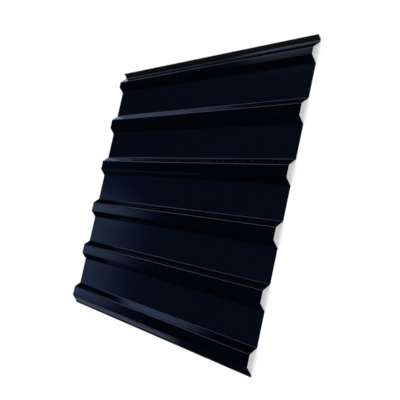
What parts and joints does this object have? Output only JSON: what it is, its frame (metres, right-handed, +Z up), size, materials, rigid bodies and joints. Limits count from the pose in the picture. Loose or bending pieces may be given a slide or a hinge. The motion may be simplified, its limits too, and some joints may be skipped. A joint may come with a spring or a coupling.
{
  "type": "trapezoidal metal sheet",
  "caption": "Long roll-formed sheet of coated steel with wide flat pans between narrow raised ribs, a drain groove and lip along one edge and a free sloping web along the other.",
  "frame": {"origin": "middle of the sheet's length and width, on the level of the pans' undersides", "axes": "+X along the ribs, +Y across them towards the edge with the drain groove, +Z up, out of the weather face"},
  "size_m": [1.4, 1.0976, 0.0235],
  "materials": {
    "coated_steel": "glossy dark navy coil coating"
  },
  "bodies": {
    "root": {"profiled_sheet": "coated_steel"}
  },
  "joints": []
}
